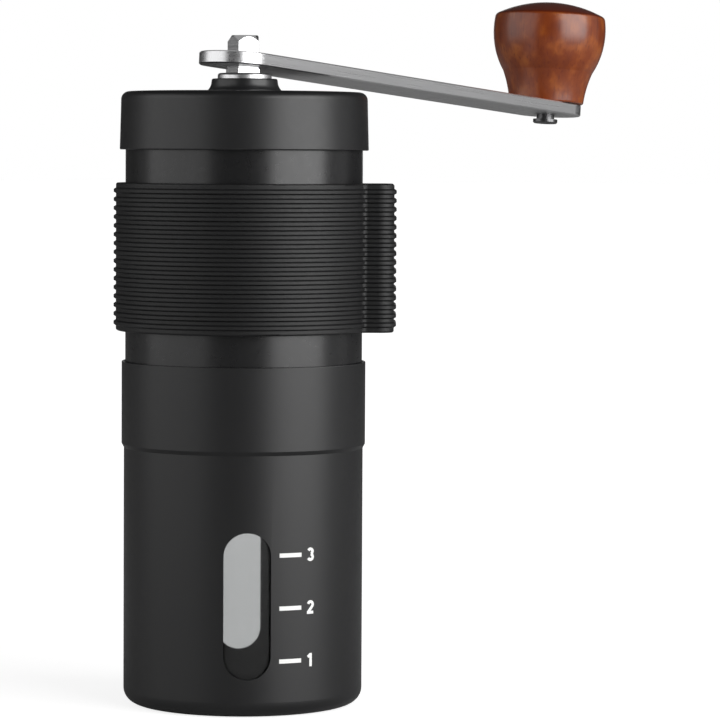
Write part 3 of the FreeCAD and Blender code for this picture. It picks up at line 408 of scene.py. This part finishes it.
class GRINDER_OT_scale(bpy.types.Operator):
    """Print the scale of marks and numbers beside the window"""
    bl_idname = "grinder.scale"
    bl_label = "Printed scale"

    def execute(self, context):
        scale = context.scene.grinder_scale
        rim = (CUP_HIGH.x - CUP_LOW.x) / 2
        wall = max(math.hypot(v.co.x, v.co.y) for v in frame["nodes"]["cup_shell"].data.vertices
                   if v.co.z < CUP_HIGH.z / 2)
        if not wall < rim:
            raise RuntimeError("the cup's wall was not found below its rim")
        # Screen-printed white ink: flat and matte, thin enough to pick up the coat's peel
        material, tree, shader = new_material("screen_printed_ink", context.scene.grinder_finish.ink)
        grain(tree, shader, (1.1, 1.1, 1.1), (0.48, 0.62))
        half = (scale.dash_end - scale.dash_start) / 2 * wall
        dash = [(half * step / DASH_STEPS, 0) for step in range(-DASH_STEPS, DASH_STEPS + 1)]
        dash_angle = (scale.dash_start + scale.dash_end) / 2
        for index, figure in enumerate(FIGURES):
            height = scale.first_height + index * scale.spacing
            low = height - scale.figure / 2
            strokes = [[((x - FIGURE_MIDDLE) * scale.figure, up * scale.figure) for x, up in stroke]
                       for stroke in figure]
            for name, lines, width, angle, level in (
                (f"scale_dash_{index + 1}", [dash], scale.line, dash_angle, height),
                (f"scale_figure_{index + 1}", strokes, FIGURE_STROKE * scale.figure,
                 scale.figure_angle, low),
            ):
                mesh = self.print_strokes(name, lines, width, wall, angle, level, scale.film)
                mesh.materials.append(material)
                piece = bpy.data.objects.new(name, mesh)
                context.scene.collection.objects.link(piece)
                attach(piece, "cup")
        return {"FINISHED"}

    def print_strokes(self, name, strokes, width, wall, angle, level, film):
        """Make strokes that are drawn flat in metres into a film of ink on the cup's wall."""
        form = bmesh.new()
        for stroke in strokes:
            spots = [Vector(spot) for spot in stroke]
            ways = [(after - before).normalized()
                    for before, after in zip(spots[:1] + spots[:-1], spots[1:] + spots[-1:])]
            rows = []
            for side, out in ((-1, 0), (-1, 1), (1, 1), (1, 0)):
                edge = [spot + Vector((-way.y, way.x)) * side * width / 2
                        for spot, way in zip(spots, ways)]
                rows.append([form.verts.new(wrapped((x, level + up, out * film), wall, angle))
                             for x, up in edge])
            for low, high in zip(rows, rows[1:] + rows[:1]):
                for step in range(len(spots) - 1):
                    form.faces.new((low[step], low[step + 1], high[step + 1], high[step]))
            for end in (0, -1):
                form.faces.new([row[end] for row in rows])
        bmesh.ops.recalc_face_normals(form, faces=form.faces)
        mesh = bpy.data.meshes.new(name)
        form.to_mesh(mesh)
        form.free()
        return mesh


def seen_share(tree):
    """Give 1 to what the camera sees straight or through the clear liner, and 0 to scattered light."""
    ray = add(tree, "ShaderNodeLightPath")
    bounces = add(tree, "ShaderNodeMath", operation="ADD",
                  links={0: ray.outputs["Diffuse Depth"], 1: ray.outputs["Glossy Depth"]})
    straight = add(tree, "ShaderNodeMath", operation="LESS_THAN", links={0: bounces.outputs["Value"]},
                   sockets={1: 0.5})
    through = add(tree, "ShaderNodeMath", operation="MULTIPLY",
                  links={0: ray.outputs["Is Transmission Ray"], 1: straight.outputs["Value"]})
    return add(tree, "ShaderNodeMath", operation="MAXIMUM",
               links={0: ray.outputs["Is Camera Ray"], 1: through.outputs["Value"]}).outputs["Value"]


# Softboxes and cards: where each stands, and how wide and high it is, in metres
KEY_SOFTBOX = ((0.77, -0.52, 0.32), (1.05, 0.9))
FILL_SOFTBOX = ((-0.80, -0.34, 0.32), (1.3, 0.9))
RIGHT_CARD = ((0.86, 0.28, 0.32), (0.4, 0.9))
LEFT_CARD = ((-0.86, 0.34, 0.32), (0.4, 0.9))
CEILING_CARD = ((0, 0, 1.5), (3.0, 3.0))
LAMP_AIM = Vector((0, 0, 0.08))
# The left card's power as a share of the right one's
LEFT_CARD_SHARE = 1 / 3
BRIGHT_STEEL = ("crank_arm", "drive_shaft", "lid_eyelet")
# Matte white card of the floor, a hair below the base, and how far from the grinder its glow grows
# to white
FLOOR_COLOUR = "#b4b4b4"
FLOOR_ROUGHNESS = 0.9
FLOOR_RADIUS = 12.0
FLOOR_SIDES = 96
FLOOR_DROP = 0.05 * MM
GLOW_START = 0.15
GLOW_END = 0.6
GLOW_NEAR = 0.8
# Levels of the dim room, as light on the pieces and as seen in reflections
ROOM_LIGHT = 0.12
ROOM_REFLECTED = 0.05
# Cosines of the angles from straight behind between which the backdrop fades into the room
BACKDROP_OUTER = 0.97
BACKDROP_INNER = 0.985


class GRINDER_OT_stage(bpy.types.Operator):
    """Set up the floor, the white backdrop, the softboxes and the camera"""
    bl_idname = "grinder.stage"
    bl_label = "Studio"

    def execute(self, context):
        scene = context.scene
        stage = scene.grinder_stage
        self.make_floor(scene)
        self.make_world(scene)
        self.make_lamp(scene, "key_softbox", KEY_SOFTBOX, stage.key)
        self.make_lamp(scene, "fill_softbox", FILL_SOFTBOX, stage.fill)
        self.make_lamp(scene, "right_card", RIGHT_CARD, stage.card)
        self.make_lamp(scene, "left_card", LEFT_CARD, stage.card * LEFT_CARD_SHARE)
        ceiling = self.make_lamp(scene, "ceiling_card", CEILING_CARD, stage.ceiling)
        # This card is flagged off the black pieces and the wood, which would turn grey under it
        steel = bpy.data.collections.new("bright_steel")
        for name in BRIGHT_STEEL:
            steel.objects.link(frame["nodes"][name])
        ceiling.light_linking.receiver_collection = steel
        self.make_camera(scene, stage)
        scene.view_settings.view_transform = "Standard"
        return {"FINISHED"}

    def make_camera(self, scene, stage):
        lens = bpy.data.cameras.new("camera")
        lens.lens = stage.lens
        camera = bpy.data.objects.new("camera", lens)
        scene.collection.objects.link(camera)
        camera.rotation_mode = "ZYX"
        camera.location = stage.camera
        camera.rotation_euler = (math.pi / 2 - stage.pitch, 0, stage.roll)
        scene.camera = camera

    def make_floor(self, scene):
        form = bmesh.new()
        bmesh.ops.create_circle(form, cap_ends=True, radius=FLOOR_RADIUS, segments=FLOOR_SIDES)
        mesh = bpy.data.meshes.new("floor")
        form.to_mesh(mesh)
        form.free()
        # Matte white card, which the camera sees as white apart from the shadow
        material, tree, shader = new_material("white_card", linear(FLOOR_COLOUR))
        shader.inputs["Roughness"].default_value = FLOOR_ROUGHNESS
        seen = seen_share(tree)
        # The glow is weaker near the grinder, so that its shadow shows
        spot = add(tree, "ShaderNodeTexCoord")
        reach = add(tree, "ShaderNodeVectorMath", operation="LENGTH", links={0: spot.outputs["Object"]})
        level = add(tree, "ShaderNodeMapRange", links={"Value": reach.outputs["Value"]},
                    sockets={"From Min": GLOW_START, "From Max": GLOW_END,
                             "To Min": GLOW_NEAR, "To Max": WHITE_LEVEL})
        glow = add(tree, "ShaderNodeMath", operation="MULTIPLY",
                   links={0: seen, 1: level.outputs["Result"]})
        shader.inputs["Emission Color"].default_value = (1, 1, 1, 1)
        tree.links.new(glow.outputs["Value"], shader.inputs["Emission Strength"])
        mesh.materials.append(material)
        floor = bpy.data.objects.new("floor", mesh)
        floor.location.z = -FLOOR_DROP
        scene.collection.objects.link(floor)

    def make_world(self, scene):
        world = bpy.data.worlds.new("studio")
        scene.world = world
        world.use_nodes = True
        tree = world.node_tree
        tree.nodes.clear()
        ray = add(tree, "ShaderNodeLightPath")
        spot = add(tree, "ShaderNodeTexCoord")
        way = add(tree, "ShaderNodeSeparateXYZ", links={"Vector": spot.outputs["Generated"]})
        # Reflections see a white backdrop straight behind the grinder and a dim room round it
        backdrop = add(tree, "ShaderNodeMapRange", interpolation_type="SMOOTHSTEP",
                       links={"Value": way.outputs["Y"]},
                       sockets={"From Min": BACKDROP_OUTER, "From Max": BACKDROP_INNER,
                                "To Min": ROOM_REFLECTED, "To Max": WHITE_LEVEL})
        glossy = add(tree, "ShaderNodeMix", sockets={"A": ROOM_LIGHT},
                     links={"Factor": ray.outputs["Is Glossy Ray"], "B": backdrop.outputs["Result"]})
        seen = seen_share(tree)
        level = add(tree, "ShaderNodeMix", links={"Factor": seen, "A": glossy.outputs["Result"]},
                    sockets={"B": WHITE_LEVEL})
        back = add(tree, "ShaderNodeBackground", links={"Strength": level.outputs["Result"]},
                   sockets={"Color": (1, 1, 1, 1)})
        add(tree, "ShaderNodeOutputWorld", links={"Surface": back.outputs["Background"]})

    def make_lamp(self, scene, name, stand, power):
        place, size = stand
        light = bpy.data.lights.new(name, "AREA")
        light.shape = "RECTANGLE"
        light.size, light.size_y = size
        light.energy = power
        lamp = bpy.data.objects.new(name, light)
        lamp.location = place
        aim = LAMP_AIM - Vector(place)
        lamp.rotation_euler = aim.to_track_quat("-Z", "Y").to_euler()
        scene.collection.objects.link(lamp)
        return lamp


PIECES = (GRINDER_OT_coat, GRINDER_OT_liner, GRINDER_OT_band, GRINDER_OT_mouldings, GRINDER_OT_steel,
          GRINDER_OT_knob, GRINDER_OT_burrs, GRINDER_OT_scale, GRINDER_OT_stage)


class GRINDER_PT_looks(bpy.types.Panel):
    """Buttons for each of the grinder's finishes and for the studio"""
    bl_idname = "GRINDER_PT_looks"
    bl_label = "Coffee grinder"
    bl_space_type = "VIEW_3D"
    bl_region_type = "UI"
    bl_category = "Grinder"

    def draw(self, context):
        for piece in PIECES:
            self.layout.operator(piece.bl_idname)
        for group in SETTINGS:
            box = self.layout.box()
            for name in group.__annotations__:
                box.prop(getattr(context.scene, SETTINGS[group]), name)


SETTINGS = {
    GrinderFinish: "grinder_finish",
    GrinderScale: "grinder_scale",
    GrinderStage: "grinder_stage",
}


def register():
    for group, name in SETTINGS.items():
        bpy.utils.register_class(group)
        setattr(bpy.types.Scene, name, bpy.props.PointerProperty(type=group))
    for piece in (*PIECES, GRINDER_PT_looks):
        bpy.utils.register_class(piece)


def unregister():
    for piece in reversed((*PIECES, GRINDER_PT_looks)):
        bpy.utils.unregister_class(piece)
    for group, name in SETTINGS.items():
        delattr(bpy.types.Scene, name)
        bpy.utils.unregister_class(group)


def main():
    register()
    make = bpy.ops.grinder
    for step in (make.coat, make.liner, make.band, make.mouldings, make.steel, make.knob, make.burrs,
                 make.scale, make.stage):
        step()


if __name__ == "__main__":
    main()
